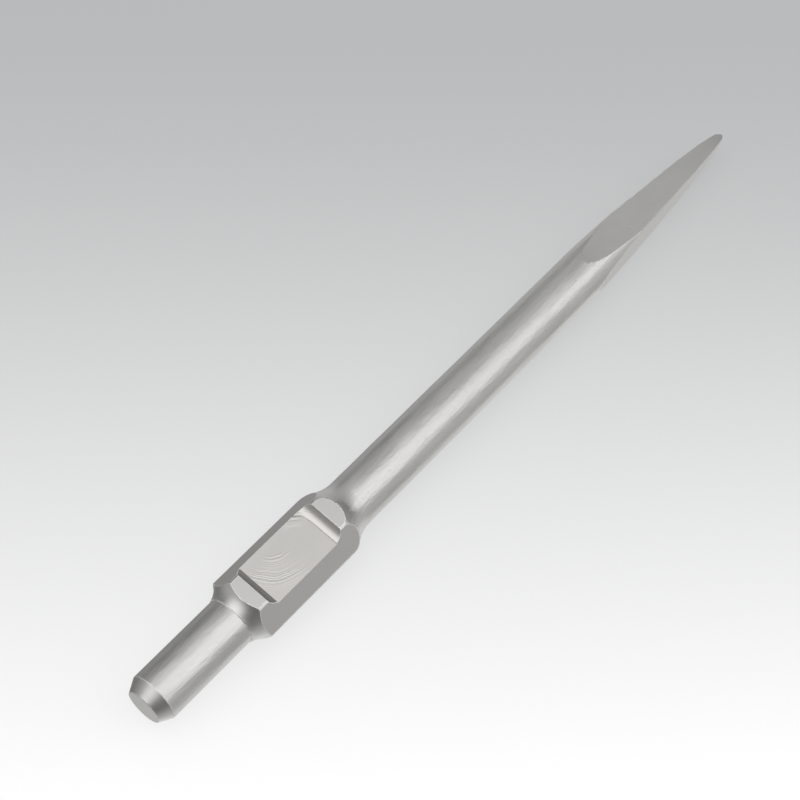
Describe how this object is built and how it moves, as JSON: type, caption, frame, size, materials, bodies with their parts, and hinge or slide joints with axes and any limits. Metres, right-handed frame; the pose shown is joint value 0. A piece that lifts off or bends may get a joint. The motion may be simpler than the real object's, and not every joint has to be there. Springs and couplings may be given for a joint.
{
  "type": "point chisel",
  "caption": "Forged steel point chisel bit for an electric demolition hammer: round tail, hexagon collar with a retainer recess, round body and four-sided point.",
  "frame": {"origin": "centre of the flat struck face at the tail end", "axes": "+X along the bar from the struck face to the tip, +Z out of the flat that holds the retainer recess"},
  "size_m": [0.41, 0.034, 0.03],
  "materials": {
    "forged_steel": "satin, turned and ground, with milled recess"
  },
  "bodies": {
    "root": {"point_chisel": "forged_steel"}
  },
  "joints": []
}
